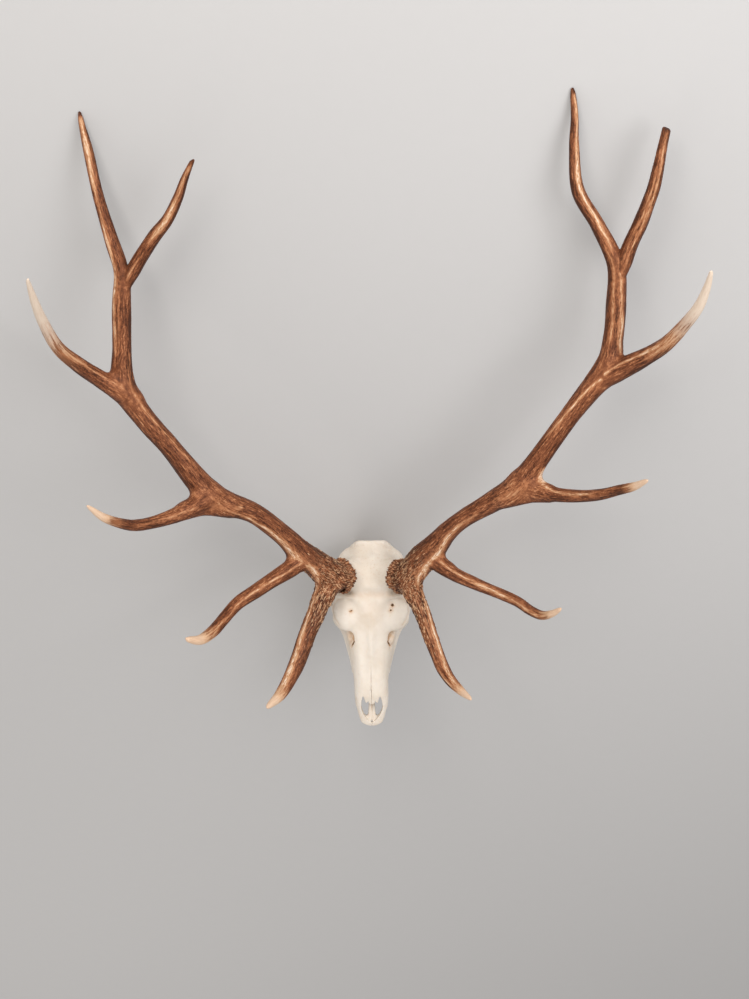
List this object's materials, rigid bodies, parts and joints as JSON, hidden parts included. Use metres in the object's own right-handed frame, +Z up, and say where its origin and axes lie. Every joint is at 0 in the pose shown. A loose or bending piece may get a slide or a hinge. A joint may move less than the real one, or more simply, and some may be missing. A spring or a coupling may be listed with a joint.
{
  "type": "elk skull with antlers",
  "caption": "Bare, bleached skull of a bull elk with its branching antlers and upper cheek teeth, without the lower jaw, lying tipped back on its base and the ends of its beams.",
  "frame": {"origin": "under the middle of the object's bounding box, on the surface it rests on", "axes": "+Z up, +Y from the muzzle towards the ends of the main beams, +X to the animal's left"},
  "size_m": [1.2662, 1.5056, 0.5027],
  "materials": {
    "bone": "dry bleached bone, matt, cream",
    "antler": "grooved and pearled brown antler, worn paler on its ridges and polished to ivory at its tips",
    "enamel": "worn tooth enamel, slightly glossy"
  },
  "bodies": {
    "root": {"skull": "bone", "right_main_beam": "antler", "right_brow_tine": "antler", "right_bez_tine": "antler", "right_trez_tine": "antler", "right_royal_tine": "antler", "right_surroyal_tine": "antler", "right_premolar_2": "enamel", "right_premolar_3": "enamel", "right_premolar_4": "enamel", "right_molar_1": "enamel", "right_molar_2": "enamel", "right_molar_3": "enamel", "left_main_beam": "antler", "left_brow_tine": "antler", "left_bez_tine": "antler", "left_trez_tine": "antler", "left_royal_tine": "antler", "left_surroyal_tine": "antler", "left_premolar_2": "enamel", "left_premolar_3": "enamel", "left_premolar_4": "enamel", "left_molar_1": "enamel", "left_molar_2": "enamel", "left_molar_3": "enamel"}
  },
  "joints": []
}
